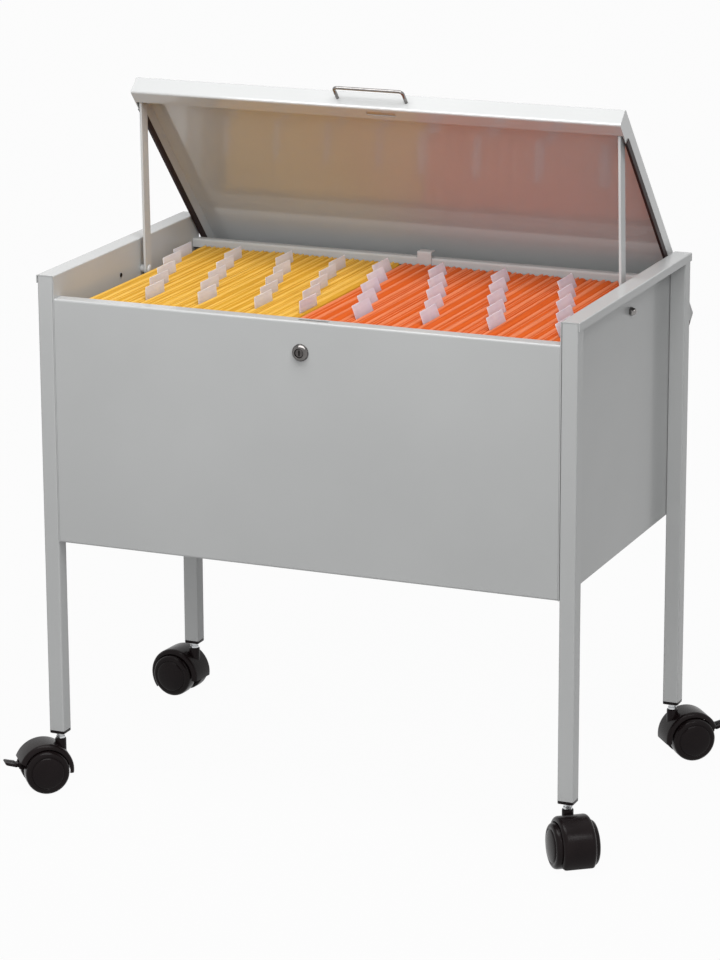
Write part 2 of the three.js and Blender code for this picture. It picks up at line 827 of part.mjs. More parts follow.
for (const [tag, [side, y]] of Object.entries(corners)) {
  const caster = new THREE.Group();
  caster.position.set(side * legAxis, y, 0);
  caster.rotation.z = headings[tag] * rad;
  body.add(caster);
  add(`hood_${tag}`, hood(braked.includes(tag)), 'black', caster);
  add(`axle_${tag}`, pinY(axleRadius, trail, -axleHalf, axleHalf, wheelCentre), 'steel', caster);
  add(`wheel_${tag}_a`, wheel(1), 'black', caster);
  add(`wheel_${tag}_b`, wheel(-1), 'black', caster);
  if (braked.includes(tag)) {
    add(`brake_lever_${tag}`, lever(), 'black', caster);
  }
}

// Origin at the bottom centre of the whole cart
assembly.updateMatrixWorld(true);
const extent = new THREE.Box3().setFromObject(assembly, true);
const middle = extent.getCenter(new THREE.Vector3());
body.position.set(-middle.x, -middle.y, -extent.min.z);
assembly.updateMatrixWorld(true);

export default assembly;
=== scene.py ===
import json
import math
import random

import bmesh
import bpy
from mathutils import Matrix, Vector


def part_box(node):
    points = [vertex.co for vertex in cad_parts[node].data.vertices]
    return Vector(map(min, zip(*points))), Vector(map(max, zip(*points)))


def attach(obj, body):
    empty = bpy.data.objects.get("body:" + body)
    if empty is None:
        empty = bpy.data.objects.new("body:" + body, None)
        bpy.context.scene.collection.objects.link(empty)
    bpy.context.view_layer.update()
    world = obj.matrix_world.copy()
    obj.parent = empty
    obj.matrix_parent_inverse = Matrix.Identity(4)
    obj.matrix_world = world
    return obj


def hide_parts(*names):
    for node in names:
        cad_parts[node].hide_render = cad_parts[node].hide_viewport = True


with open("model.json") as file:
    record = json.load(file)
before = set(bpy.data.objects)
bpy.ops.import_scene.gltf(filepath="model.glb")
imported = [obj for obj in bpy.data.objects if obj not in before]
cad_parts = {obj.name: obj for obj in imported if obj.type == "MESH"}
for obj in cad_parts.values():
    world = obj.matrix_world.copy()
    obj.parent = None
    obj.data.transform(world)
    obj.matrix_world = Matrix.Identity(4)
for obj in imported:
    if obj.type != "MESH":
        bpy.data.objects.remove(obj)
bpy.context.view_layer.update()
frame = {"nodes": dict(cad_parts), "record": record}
nodes = frame["nodes"]
random.seed(7)

MM = 0.001
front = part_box("leg_fl")[0].y
deg = math.radians


# Node helpers
def new_material(name):
    material = bpy.data.materials.new(name)
    material.use_nodes = True
    tree = material.node_tree
    tree.nodes.clear()
    out = tree.nodes.new("ShaderNodeOutputMaterial")
    shader = tree.nodes.new("ShaderNodeBsdfPrincipled")
    tree.links.new(shader.outputs["BSDF"], out.inputs["Surface"])
    return material, tree, shader


def add_node(tree, kind, **values):
    node = tree.nodes.new(kind)
    for key, value in values.items():
        if key in node.inputs:
            node.inputs[key].default_value = value
        else:
            setattr(node, key, value)
    return node


def coords(tree, scale=(1, 1, 1), turn=(0, 0, 0)):
    where = add_node(tree, "ShaderNodeTexCoord")
    mapping = add_node(tree, "ShaderNodeMapping")
    mapping.inputs["Scale"].default_value = scale
    mapping.inputs["Rotation"].default_value = turn
    tree.links.new(where.outputs["Object"], mapping.inputs["Vector"])
    return mapping.outputs["Vector"]


def noise(tree, vector, scale, detail=3.0, rough=0.5):
    node = add_node(tree, "ShaderNodeTexNoise", Scale=scale, Detail=detail, Roughness=rough)
    tree.links.new(vector, node.inputs["Vector"])
    return node.outputs["Fac"]


def spread(tree, fac, low, high, start=0.3, end=0.7):
    ramp = add_node(tree, "ShaderNodeMapRange")
    ramp.inputs["From Min"].default_value = start
    ramp.inputs["From Max"].default_value = end
    ramp.inputs["To Min"].default_value = low
    ramp.inputs["To Max"].default_value = high
    tree.links.new(fac, ramp.inputs["Value"])
    return ramp.outputs["Result"]


def tint(tree, fac, low, high, start=0.3, end=0.7):
    ramp = add_node(tree, "ShaderNodeValToRGB")
    ramp.color_ramp.elements[0].position = start
    ramp.color_ramp.elements[1].position = end
    ramp.color_ramp.elements[0].color = (*low, 1)
    ramp.color_ramp.elements[1].color = (*high, 1)
    tree.links.new(fac, ramp.inputs["Fac"])
    return ramp.outputs["Color"]


def bump(tree, shader, height, strength, distance):
    node = add_node(tree, "ShaderNodeBump", Strength=strength, Distance=distance)
    tree.links.new(height, node.inputs["Height"])
    tree.links.new(node.outputs["Normal"], shader.inputs["Normal"])


# Finishes
def paint(name, low, high, rough_low, rough_high, coat, specular=0.18, scale=4.0):
    material, tree, shader = new_material(name)
    where = coords(tree)
    broad = noise(tree, where, scale, 4.0)
    fine = noise(tree, where, 900.0, 2.0)
    tree.links.new(tint(tree, broad, low, high), shader.inputs["Base Color"])
    tree.links.new(spread(tree, broad, rough_low, rough_high), shader.inputs["Roughness"])
    bump(tree, shader, fine, 0.06, 0.0003)
    shader.inputs["Specular IOR Level"].default_value = specular
    shader.inputs["Coat Weight"].default_value = coat
    shader.inputs["Coat Roughness"].default_value = 0.05
    return material


def fade_coat_painted_shade(material, matt, glossy, low, high, inward):
    """Lets the gloss coat fade out towards the lid's rear edge as painted shade, standing in for the dark reflection
    there, and leaves the top matt.
    """
    tree = material.node_tree
    shader = tree.nodes["Principled BSDF"]
    split = add_node(tree, "ShaderNodeSeparateXYZ")
    tree.links.new(coords(tree), split.inputs["Vector"])
    where = add_node(tree, "ShaderNodeTexCoord")
    facing = add_node(tree, "ShaderNodeVectorMath", operation="DOT_PRODUCT")
    facing.inputs[1].default_value = inward
    tree.links.new(where.outputs["Normal"], facing.inputs[0])
    weight = add_node(tree, "ShaderNodeMath", operation="MULTIPLY")
    tree.links.new(spread(tree, split.outputs["Z"], low, high, matt, glossy), weight.inputs[0])
    tree.links.new(spread(tree, facing.outputs["Value"], 0.0, 1.0, -0.8, -0.5), weight.inputs[1])
    tree.links.new(weight.outputs[0], shader.inputs["Coat Weight"])
    shader.inputs["Coat IOR"].default_value = 1.8
    shader.inputs["Coat Roughness"].default_value = 0.12


def plastic(name, low, high, rough_low, rough_high, grain, depth):
    material, tree, shader = new_material(name)
    where = coords(tree)
    broad = noise(tree, where, 35.0, 4.0)
    fine = noise(tree, where, grain, 2.0)
    tree.links.new(tint(tree, broad, low, high), shader.inputs["Base Color"])
    tree.links.new(spread(tree, broad, rough_low, rough_high), shader.inputs["Roughness"])
    bump(tree, shader, fine, 0.25, depth)
    shader.inputs["Specular IOR Level"].default_value = 0.12
    return material


def metal(name, low, high, rough_low, rough_high, stretch):
    material, tree, shader = new_material(name)
    streaks = noise(tree, coords(tree, stretch), 220.0, 3.0)
    tree.links.new(tint(tree, streaks, low, high), shader.inputs["Base Color"])
    tree.links.new(spread(tree, streaks, rough_low, rough_high), shader.inputs["Roughness"])
    bump(tree, shader, streaks, 0.05, 0.0002)
    shader.inputs["Metallic"].default_value = 1.0
    return material


def card(name, low, high, rough_low, rough_high):
    material, tree, shader = new_material(name)
    grain = noise(tree, coords(tree, (30, 1.2, 30)), 9.0, 5.0, 0.6)
    fibres = noise(tree, coords(tree, (1, 0.25, 1)), 1400.0, 3.0)
    tree.links.new(tint(tree, grain, low, high, 0.32, 0.68), shader.inputs["Base Color"])
    tree.links.new(spread(tree, fibres, rough_low, rough_high), shader.inputs["Roughness"])
    bump(tree, shader, fibres, 0.15, 0.0002)
    shader.inputs["Specular IOR Level"].default_value = 0.25
    return material


def clear_film(name, clear, milky):
    """Milky film that is clearer at its foot, between two heights."""
    material, tree, shader = new_material(name)
    cloud = noise(tree, coords(tree), 60.0, 3.0)
    tree.links.new(tint(tree, cloud, (0.67, 0.69, 0.96), (0.75, 0.77, 0.99)), shader.inputs["Base Color"])
    tree.links.new(spread(tree, cloud, 0.38, 0.52), shader.inputs["Roughness"])
    split = add_node(tree, "ShaderNodeSeparateXYZ")
    tree.links.new(coords(tree), split.inputs["Vector"])
    tree.links.new(spread(tree, split.outputs["Z"], 0.55, 0.96, clear, milky), shader.inputs["Alpha"])
    shader.inputs["Subsurface Weight"].default_value = 0.85
    shader.inputs["Subsurface Radius"].default_value = (1.0, 1.0, 1.0)
    shader.inputs["Subsurface Scale"].default_value = 0.004
    shader.inputs["IOR"].default_value = 1.4
    return material


GREY_LOW = (0.482, 0.488, 0.486)
GREY_HIGH = (0.518, 0.524, 0.522)
grey = paint("grey_powder_coat", GREY_LOW, GREY_HIGH, 0.20, 0.26, 0.1)
grey_lid = paint("grey_powder_coat_lid", GREY_LOW, GREY_HIGH, 0.22, 0.27, 1.0, 0.05)
# The lid's coat fades out towards its rear edge: painted shade in its reflection.
fade_coat_painted_shade(grey_lid, 0.650, 0.676, 0.10, 1.0, (0, -math.sin(deg(48)), -math.cos(deg(48))))
black = plastic("black_moulding", (0.0064, 0.0036, 0.0040), (0.0096, 0.0060, 0.0064), 0.23, 0.31, 1500.0, 0.0001)
tread = plastic("wheel_tread", (0.0060, 0.0034, 0.0038), (0.0088, 0.0056, 0.0060), 0.21, 0.29, 700.0, 0.0001)
rubber = plastic("glide_strip", (0.022, 0.012, 0.012), (0.034, 0.020, 0.019), 0.42, 0.55, 900.0, 0.0002)
# The chrome base colours are kept dark: a painted reflection of dark surroundings, darkest on the lock's keyway.
chrome = metal("polished_chrome", (0.20, 0.19, 0.185), (0.27, 0.26, 0.255), 0.06, 0.11, (1, 1, 1))
chrome_painted_dark_reflection = metal("chrome_painted_dark_reflection", (0.080, 0.074, 0.072), (0.115, 0.106, 0.104), 0.06, 0.11, (1, 1, 1))
lock_chrome_painted_dark_reflection = metal("lock_chrome_painted_dark_reflection", (0.125, 0.118, 0.115), (0.165, 0.156, 0.153), 0.04, 0.07, (1, 1, 1))
dark_steel = metal("blackened_hook", (0.05, 0.045, 0.045), (0.09, 0.08, 0.08), 0.35, 0.5, (1, 1, 1))
dull_steel = metal("dull_zinc", (0.26, 0.26, 0.26), (0.34, 0.34, 0.34), 0.45, 0.60, (1, 1, 1))
steel = metal("bright_zinc", (0.50, 0.51, 0.52), (0.64, 0.65, 0.66), 0.22, 0.36, (1, 6, 1))
yellow = card("yellow_card", (0.53, 0.262, 0.017), (0.63, 0.338, 0.029), 0.60, 0.75)
# The hem colours are paler copies of the card colours: painted highlight on the crests.
yellow_hem_painted_highlight = card("yellow_hem_painted_highlight", (0.71, 0.41, 0.058), (0.80, 0.50, 0.100), 0.50, 0.65)
orange = card("orange_card", (0.55, 0.081, 0.006), (0.64, 0.108, 0.010), 0.60, 0.75)
orange_hem_painted_highlight = card("orange_hem_painted_highlight", (0.66, 0.170, 0.060), (0.75, 0.228, 0.100), 0.50, 0.65)
folder_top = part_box("yellow_folders")[1].z
film = clear_film("tab_film", folder_top - 0.001, folder_top + 0.008)

FINISH = {
    "grey_paint": grey, "black_plastic": black, "wheel_tread": tread, "chrome": chrome, "steel": steel,
    "glide_strip": rubber, "yellow_card": yellow, "orange_card": orange,
}
slots = {row["node"]: row["material_slot"] for row in frame["record"]["subparts"]}
for name, node in nodes.items():
    node.data.materials.clear()
    node.data.materials.append(FINISH[slots[name]])
nodes["lid_tray"].data.materials.clear()
nodes["lid_tray"].data.materials.append(grey_lid)


# Mesh helpers
def piece(name, verts, faces, material, body, stands_for=(), place=None, sharp=32):
    mesh = bpy.data.meshes.new(name)
    if place is not None:
        verts = [place @ Vector(v) for v in verts]
    mesh.from_pydata([tuple(v) for v in verts], [], faces)
    made = bmesh.new()
    made.from_mesh(mesh)
    bmesh.ops.remove_doubles(made, verts=made.verts, dist=1e-7)
    bmesh.ops.recalc_face_normals(made, faces=made.faces)
    made.to_mesh(mesh)
    made.free()
    mesh.polygons.foreach_set("use_smooth", [True] * len(mesh.polygons))
    mesh.set_sharp_from_angle(angle=deg(sharp))
    mesh.materials.append(material)
    obj = bpy.data.objects.new(name, mesh)
    bpy.context.scene.collection.objects.link(obj)
    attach(obj, body)
    if stands_for:
        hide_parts(*stands_for)
    return obj


def gather(parts):
    verts, faces = [], []
    for part_verts, part_faces in parts:
        base = len(verts)
        verts.extend(part_verts)
        faces.extend([tuple(i + base for i in face) for face in part_faces])
    return verts, faces


def turned(profile, sides=64, axis="z", start=0.0, sweep=math.tau, closed_profile=False):
    """Revolves (radius, height) points about an axis; a partial turn gets end caps."""
    whole = abs(sweep - math.tau) < 1e-6
    rings = sides if whole else sides + 1
    verts, faces = [], []
    for k in range(rings):
        a = start + sweep * k / sides
        c, s = math.cos(a), math.sin(a)
        for r, h in profile:
            if axis == "z":
                verts.append((r * c, r * s, h))
            elif axis == "y":
                verts.append((r * c, h, r * s))
            else:
                verts.append((h, r * c, r * s))
    n = len(profile)
    last = n if closed_profile else n - 1
    for k in range(sides):
        j = (k + 1) % rings
        for i in range(last):
            m = (i + 1) % n
            faces.append((k * n + i, j * n + i, j * n + m, k * n + m))
    if not whole:
        faces.append(tuple(range(n)))
        faces.append(tuple((rings - 1) * n + i for i in reversed(range(n))))
    return verts, faces


def prism(points, low, high, axis="y"):
    """Extrudes a flat outline between two planes."""
    verts = []
    for h in (low, high):
        for u, v in points:
            verts.append({"y": (u, h, v), "x": (h, u, v), "z": (u, v, h)}[axis])
    n = len(points)
    faces = [tuple(range(n)), tuple(reversed(range(n, 2 * n)))]
    for i in range(n):
        j = (i + 1) % n
        faces.append((i, j, n + j, n + i))
    return verts, faces


def arc(cx, cy, radius, start, end, steps):
    return [(cx + radius * math.cos(start + (end - start) * k / steps),
             cy + radius * math.sin(start + (end - start) * k / steps)) for k in range(steps + 1)]


def rounded(points, radius, steps=5):
    """Rounds every corner of a closed outline."""
    done = []
    n = len(points)
    for i in range(n):
        p = Vector(points[i])
        a = (Vector(points[i - 1]) - p)
        b = (Vector(points[(i + 1) % n]) - p)
        reach = min(radius, a.length * 0.45, b.length * 0.45)
        s = p + a.normalized() * reach
        e = p + b.normalized() * reach
        for k in range(steps + 1):
            t = k / steps
            done.append(tuple((1 - t) ** 2 * s + 2 * t * (1 - t) * p + t * t * e))
    return done


def scaled(part):
    verts, faces = part
    return [(x * MM, y * MM, z * MM) for x, y, z in verts], faces


def moved(part, offset):
    verts, faces = part
    return [(x + offset[0], y + offset[1], z + offset[2]) for x, y, z in verts], faces


# Casters
HEADING = {"fl": 219, "fr": 307, "br": 39, "bl": 174}
BRAKED = ("fl", "br")
TRAIL = 22.0
AXLE = 28 * math.cos(math.pi / 24)
WHEEL = 27.75
HOOD = 35.0
WALL = 2.6


def wheel_part(side):
    profile = [(0.0, 30.0), (4.0, 29.95), (8.0, 29.75), (12.0, 29.35), (16.0, 28.75), (18.6, 28.15), (19.6, 27.75)]
    profile += [(20.0, 27.2), (20.4, 26.7), (21.0, 26.6), (21.5, 26.9), (22.0, 27.15)]
    profile += [(23.5, 27.0), (25.0, 26.5), (26.3, 25.6), (27.2, 24.3), (27.6, 22.8), (WHEEL, 21.0)]
    profile += [(WHEEL, 11.0), (27.5, 9.4), (26.8, 8.6), (25.8, 8.3), (24.0, 8.3), (23.6, 10.4), (10.4, 10.4), (10.0, 8.3)]
    profile += [(3.3, 8.3), (3.3, 24.8), (0.0, 24.8)]
    part = turned([(r, side * h) for r, h in profile], 72, "y")
    return moved(part, (TRAIL, 0, AXLE))


def hood_part(tag):
    tail = deg(22) if tag in BRAKED else deg(-38)
    nose = deg(188)
    outer = [(HOOD - 3.3, 20.2)] + arc(HOOD - 3.0, 16.2, 3.0, deg(62), 0, 6) + [(HOOD, 12.0)]
    outer = [(r, h) for r, h in outer]
    ring = [(HOOD - 3.5, 20.2), (HOOD - 1.6, 18.9), (HOOD - 0.7, 17.9), (HOOD - 0.15, 16.6), (HOOD, 15.0)]
    ring += [(r, -h) for r, h in reversed(ring)]
    inner = [(HOOD - WALL - 3.4, -20.2), (HOOD - WALL - 0.9, -17.0), (HOOD - WALL, -15.0)]
    inner += [(r, -h) for r, h in reversed(inner)]
    shell = moved(turned(ring + inner, 64, "y", tail, nose - tail, True), (TRAIL, 0, AXLE))
    start = deg(50) if tag in BRAKED else deg(10)
    web = arc(TRAIL, AXLE, HOOD - WALL + 1, start, deg(176), 40)
    web += arc(TRAIL, AXLE, 8, math.pi * 0.95, math.pi * 2.05, 20)
    parts = [shell, prism(web, -8, 8)]
    boss = [(0.0, 42.0), (7.0, 42.0), (7.0, 63.4), (6.7, 64.2), (6.0, 64.5), (4.4, 64.5), (4.4, 62.0), (0.0, 62.0)]
    parts.append(turned(boss, 40))
    if tag in BRAKED:
        px, pz = lever_pivot()
        for side in (-1, 1):
            lug = [(px - 4, pz - 4), (px + 4, pz - 4), (px + 4, pz + 2), (px + 1.6, pz + 7.5), (px - 4, pz + 15)]
            low, high = sorted((side * 5.0, side * 7.8))
            parts.append(prism(rounded(lug, 1.6), low, high))
    return gather(parts)


def lever_pivot():
    return TRAIL + (HOOD - WALL) * math.cos(deg(22)) - 0.8, AXLE + 7


def lever_part():
    px, pz = lever_pivot()
    tip = TRAIL + 50
    side = [(px - 3.2, pz - 2.0), (px, pz - 3.3), (px + 6, pz - 2.0), (tip - 1, pz + 2.5), (tip + 0.6, pz + 4.7)]
    side += [(tip - 1, pz + 6.2), (px + 6, pz + 2.5), (px, pz + 3.3), (px - 3.2, pz + 2.0)]
    side = rounded(side, 1.4, 4)
    low_x = px + 5
    stations = []
    for y in [-9, -8.7, -8, -6.5, -4.7, -4.6, 0, 4.6, 4.7, 6.5, 8, 8.7, 9]:
        stations.append(y)
    pad = [(px + 6, pz - 1.9), (tip - 1, pz + 2.6), (tip + 0.6, pz + 4.7), (tip - 1, pz + 6.2), (px + 6, pz + 2.5)]
    pad = rounded(pad, 1.5, 5)
    parts = [prism(side, -4.7, 4.7)]
    verts, faces = [], []
    rows = [(-9.0, 0.55), (-8.6, 0.8), (-7.9, 0.94), (-6.8, 1.0), (6.8, 1.0), (7.9, 0.94), (8.6, 0.8), (9.0, 0.55)]
    cx = sum(p[0] for p in pad) / len(pad)
    cz = sum(p[1] for p in pad) / len(pad)
    n = len(pad)
    for y, grow in rows:
        for u, v in pad:
            verts.append((cx + (u - cx) * (0.75 + 0.25 * grow), y, cz + (v - cz) * grow))
    for k in range(len(rows) - 1):
        for i in range(n):
            j = (i + 1) % n
            faces.append((k * n + i, k * n + j, (k + 1) * n + j, (k + 1) * n + i))
    faces.append(tuple(range(n)))
    faces.append(tuple(reversed(range((len(rows) - 1) * n, len(rows) * n))))
    parts.append((verts, faces))
    parts.append(moved(turned([(0, -7.8), (2, -7.8), (2, 7.8), (0, 7.8)], 24, "y"), (px, 0, pz)))
    return gather(parts)


def plug_part():
    verts, faces = [], []
    rows = [(72.3, 8.6), (72.5, 9.4), (72.9, 9.85), (75.9, 9.95), (76.2, 9.7)]
    ring = [(1, 1), (-1, 1), (-1, -1), (1, -1)]
    count = 0
    for z, half in rows:
        outline = rounded([(u * half, v * half) for u, v in ring], half * 0.2, 4)
        count = len(outline)
        verts += [(u, v, z) for u, v in outline]
    for k in range(len(rows) - 1):
        for i in range(count):
            j = (i + 1) % count
            faces.append((k * count + i, k * count + j, (k + 1) * count + j, (k + 1) * count + i))
    faces.append(tuple(range(count)))
    faces.append(tuple(reversed(range((len(rows) - 1) * count, len(rows) * count))))
    return verts, faces


def stem_part():
    profile = [(0, 45.0), (4.0, 45.0), (4.0, 64.8), (5.3, 64.8), (5.6, 65.1), (5.6, 67.6), (5.1, 67.9), (4.6, 68.2)]
    profile += [(4.6, 69.4), (5.1, 69.7), (5.5, 70.0), (5.5, 71.7), (5.2, 72.0), (4.0, 72.0), (4.0, 89.5), (0, 89.5)]
    return turned(profile, 40)


for tag, heading in HEADING.items():
    low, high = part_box("stem_" + tag)
    centre = (low + high) / 2
    home = Matrix.Translation((centre.x, centre.y, 0)) @ Matrix.Rotation(deg(heading), 4, "Z")
    still = Matrix.Translation((centre.x, centre.y, 0))
    verts, faces = scaled(hood_part(tag))
    piece("hood_shell_" + tag, verts, faces, black, "caster_" + tag, ("hood_" + tag,), home, 38)
    for letter, side in (("a", 1), ("b", -1)):
        verts, faces = scaled(wheel_part(side))
        piece("wheel_disc_" + tag + "_" + letter, verts, faces, tread, "wheels_" + tag,
              ("wheel_" + tag + "_" + letter,), home, 34)
    if tag in BRAKED:
        verts, faces = scaled(lever_part())
        piece("brake_pedal_" + tag, verts, faces, black, "brake_" + tag,
              ("brake_lever_" + tag,), home, 40)
    verts, faces = scaled(plug_part())
    piece("plug_foot_" + tag, verts, faces, black, "cabinet", ("leg_plug_" + tag,), still, 40)
    verts, faces = scaled(stem_part())
    piece("stem_collar_" + tag, verts, faces, steel, "cabinet", ("stem_" + tag,), still, 34)


# Lock
def key_plug(radius, slot_half, slot_tall, depth, length):
    """Round plug whose face has a key slot."""
    count = 64
    verts, faces = [], []

    def ring(r, h):
        verts.extend([(r * math.cos(math.tau * k / count), h, r * math.sin(math.tau * k / count)) for k in range(count)])

    def slot_ring(h):
        for k in range(count):
            c, s = math.cos(math.tau * k / count), math.sin(math.tau * k / count)
            grow = 1 / max(abs(c) / slot_half, abs(s) / slot_tall)
            verts.append((c * grow, h, s * grow))

    ring(radius, length)
    ring(radius, 0.35)
    ring(radius - 0.35, 0.0)
    slot_ring(0.0)
    slot_ring(depth)
    for k in range(4):
        for i in range(count):
            j = (i + 1) % count
            faces.append((k * count + i, k * count + j, (k + 1) * count + j, (k + 1) * count + i))
    faces.append(tuple(range(4 * count, 5 * count)))
    faces.append(tuple(reversed(range(count))))
    return verts, faces


lock_low, lock_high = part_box("lock_barrel")
lock_at = Matrix.Translation(((lock_low.x + lock_high.x) / 2, front, (lock_low.z + lock_high.z) / 2))
barrel = [(5.5, -3.0), (5.55, -4.6), (5.8, -5.1), (6.2, -5.2), (6.7, -5.05), (7.6, -4.5), (8.7, -3.6), (9.6, -2.6)]
barrel += [(10.2, -1.6), (10.45, -0.9), (10.5, -0.3), (8.0, -0.3), (8.0, 8.6), (5.5, 8.6)]
verts, faces = scaled(turned(barrel, 72, "y", closed_profile=True))
piece("lock_rim", verts, faces, lock_chrome_painted_dark_reflection, "cabinet", ("lock_barrel",), lock_at, 36)
verts, faces = scaled(moved(key_plug(5.1, 0.85, 3.5, 4.0, 16.0), (0, -4.0, 0)))
piece("lock_keyway", verts, faces, chrome_painted_dark_reflection, "lock_core", ("lock_plug",), lock_at, 36)


# Nuts, bolts and studs of the lid links
def cap_nut(side):
    parts = []
    hexagon = [(5.4 * math.cos(deg(60 * k + 30)), 5.4 * math.sin(deg(60 * k + 30))) for k in range(6)]
    verts, faces = [], []
    rows = [(0.0, 0.97), (0.25, 1.0), (3.2, 1.0), (3.7, 0.93)]
    for h, grow in rows:
        verts += [(side * h, u * grow, v * grow) for u, v in hexagon]
    for k in range(len(rows) - 1):
        for i in range(6):
            j = (i + 1) % 6
            faces.append((k * 6 + i, k * 6 + j, (k + 1) * 6 + j, (k + 1) * 6 + i))
    faces.append(tuple(range(6)))
    faces.append(tuple(reversed(range(18, 24))))
    parts.append((verts, faces))
    dome = [(4.6, 3.6), (4.45, 4.2), (4.2, 5.0), (3.7, 6.2), (2.9, 7.1), (1.8, 7.7), (0.9, 7.95), (0.0, 8.0)]
    parts.append(turned([(r, side * h) for r, h in dome], 48, "x"))
    return gather(parts)


for tag, side in (("left", -1), ("right", 1)):
    low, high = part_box("cap_nut_" + tag)
    mid = (low + high) / 2
    inner = high.x if side < 0 else low.x
    verts, faces = scaled(cap_nut(side))
    piece("acorn_nut_" + tag, verts, faces, chrome, "cabinet", ("cap_nut_" + tag,),
          Matrix.Translation((inner, mid.y, mid.z)), 30)
    low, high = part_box("pivot_bolt_" + tag)
    mid = (low + high) / 2
    span = (high.x - low.x) / MM
    bolt = [(0, 0), (3.2, 0.0), (4.6, 0.35), (5.3, 1.1), (5.5, 2.0), (5.5, 2.6), (2.9, 2.6), (2.9, 6.2)]
    bolt += [(4.8, 6.2), (5.0, 6.4), (5.0, 12.4), (2.9, 12.4), (2.9, span), (0, span)]
    inner = high.x if side < 0 else low.x
    verts, faces = scaled(turned([(r, side * h) for r, h in bolt], 48, "x"))
    piece("pivot_screw_" + tag, verts, faces, grey, "cabinet", ("pivot_bolt_" + tag,),
          Matrix.Translation((inner, mid.y, mid.z)), 34)
    low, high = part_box("link_stud_" + tag)
    mid = (low + high) / 2
    inner = high.x if side < 0 else low.x
    stud = [(0, 0), (3.4, 0), (4.8, 0.3), (5.4, 1.0), (5.5, 2.6), (2.9, 2.6), (2.9, 6.6), (5.5, 6.6), (5.5, 9.4), (0, 9.4)]
    verts, faces = scaled(turned([(r, side * h) for r, h in stud], 48, "x"))
    piece("lid_stud_" + tag, verts, faces, dull_steel, "lid", ("link_stud_" + tag,),
          Matrix.Translation((inner, mid.y, mid.z)), 34)
    low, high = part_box("link_pad_" + tag)
    mid = (low + high) / 2
    wall = low.x if side < 0 else high.x
    button = [(0, 0), (2.7, 0), (2.7, 0.4), (2.5, 0.7), (2.0, 0.9), (1.0, 1.0), (0, 1.0)]
    verts, faces = scaled(turned([(r, -side * h) for r, h in button], 40, "x"))
    piece("pad_button_" + tag, verts, faces, black, "cabinet", ("link_pad_" + tag,),
          Matrix.Translation((wall, mid.y, mid.z)), 34)

# Wire handle on the lid's front lip
lid_home = Matrix.Translation((0, front + 0.234325, 0.833925)) @ Matrix.Rotation(deg(-48), 4, "X")
half, foot, reach, bend, level, wire = 45.0, -25.3, -45.0, 4.6, 4.0, 2.1
path = [(-half, foot), (-half, reach + bend)]
path += arc(-half + bend, reach + bend, bend, math.pi, math.pi * 1.5, 12)[1:]
path += arc(half - bend, reach + bend, bend, -math.pi / 2, 0, 12)
path += [(half, foot)]
verts, faces, round_count = [], [], 24
for k, (u, v) in enumerate(path):
    before = Vector(path[max(k - 1, 0)])
    after = Vector(path[min(k + 1, len(path) - 1)])
    along = (after - before).normalized()
    across = Vector((-along.y, along.x))
    for i in range(round_count):
        a = math.tau * i / round_count
        offset = across * (wire * math.cos(a))
        verts.append((u + offset.x, v + offset.y, level + wire * math.sin(a)))
for k in range(len(path) - 1):
    for i in range(round_count):
        j = (i + 1) % round_count
        a, b = k * round_count, (k + 1) * round_count
        faces.append((a + i, a + j, b + j, b + i))
faces.append(tuple(range(round_count)))
faces.append(tuple(reversed(range((len(path) - 1) * round_count, len(path) * round_count))))
verts, faces = scaled((verts, faces))
piece("wire_handle", verts, faces, chrome, "lid", ("lid_handle",), lid_home, 50)


# Hanging folders
NEAR, FAR = 24.0, 388.0
ROUNDED_END = [(0.0, 0.40), (0.9, 0.60), (2.4, 0.79), (5.0, 0.93), (12.0, 1.0)]


def stations(cut):
    """Places along a folder with the share of its width there; the back end stops short by a cut."""
    last = FAR - cut
    rows = [(NEAR + d, s) for d, s in ROUNDED_END]
    rows += [(NEAR + 12 + (last - NEAR - 24) * k / 9, 1.0) for k in range(1, 9)]
    return rows + [(last - d, s) for d, s in reversed(ROUNDED_END)]


def lengthwise(outline, bend, middle, faces_at_ends, rows):
    """Runs a closed cross section from the front end to the back end, drawn in at both ends."""
    verts, faces = [], []
    n = len(outline)
    for y, share in rows:
        shift, sag = bend(y)
        for u, v in outline:
            near_top = max(0.0, min(1.0, (v + 26.0) / 14.0))
            grow = 1.0 - (1.0 - share) * near_top
            verts.append((middle + (u - middle) * grow + shift * (0.5 + 0.5 * near_top), y, v + sag))
    for k in range(len(rows) - 1):
        for i in range(n):
            j = (i + 1) % n
            faces.append((k * n + i, k * n + j, (k + 1) * n + j, (k + 1) * n + i))
    last = (len(rows) - 1) * n
    for face in faces_at_ends:
        faces.append(tuple(face))
        faces.append(tuple(last + i for i in reversed(face)))
    return verts, faces


def ribbon(line, thick):
    """Closed outline around a line, with the quads that close its ends."""
    count = len(line)
    left, right = [], []
    for k, p in enumerate(line):
        a = Vector(line[max(k - 1, 0)])
        b = Vector(line[min(k + 1, count - 1)])
        along = (b - a).normalized()
        side = Vector((-along.y, along.x)) * thick / 2
        left.append(tuple(Vector(p) + side))
        right.append(tuple(Vector(p) - side))
    outline = left + list(reversed(right))
    size = len(outline)
    return outline, [(k, k + 1, size - 2 - k, size - 1 - k) for k in range(count - 1)]


def hem(left, width, top, low):
    """Rounded hem over a hanger bar."""
    r = width / 2
    points = [(left + width, low)]
    points += [(left + r + r * math.cos(math.pi * k / 10), top - r * 0.55 * (1 - math.sin(math.pi * k / 10)))
               for k in range(11)]
    points += [(left, low)]
    return points, [tuple(range(len(points)))]


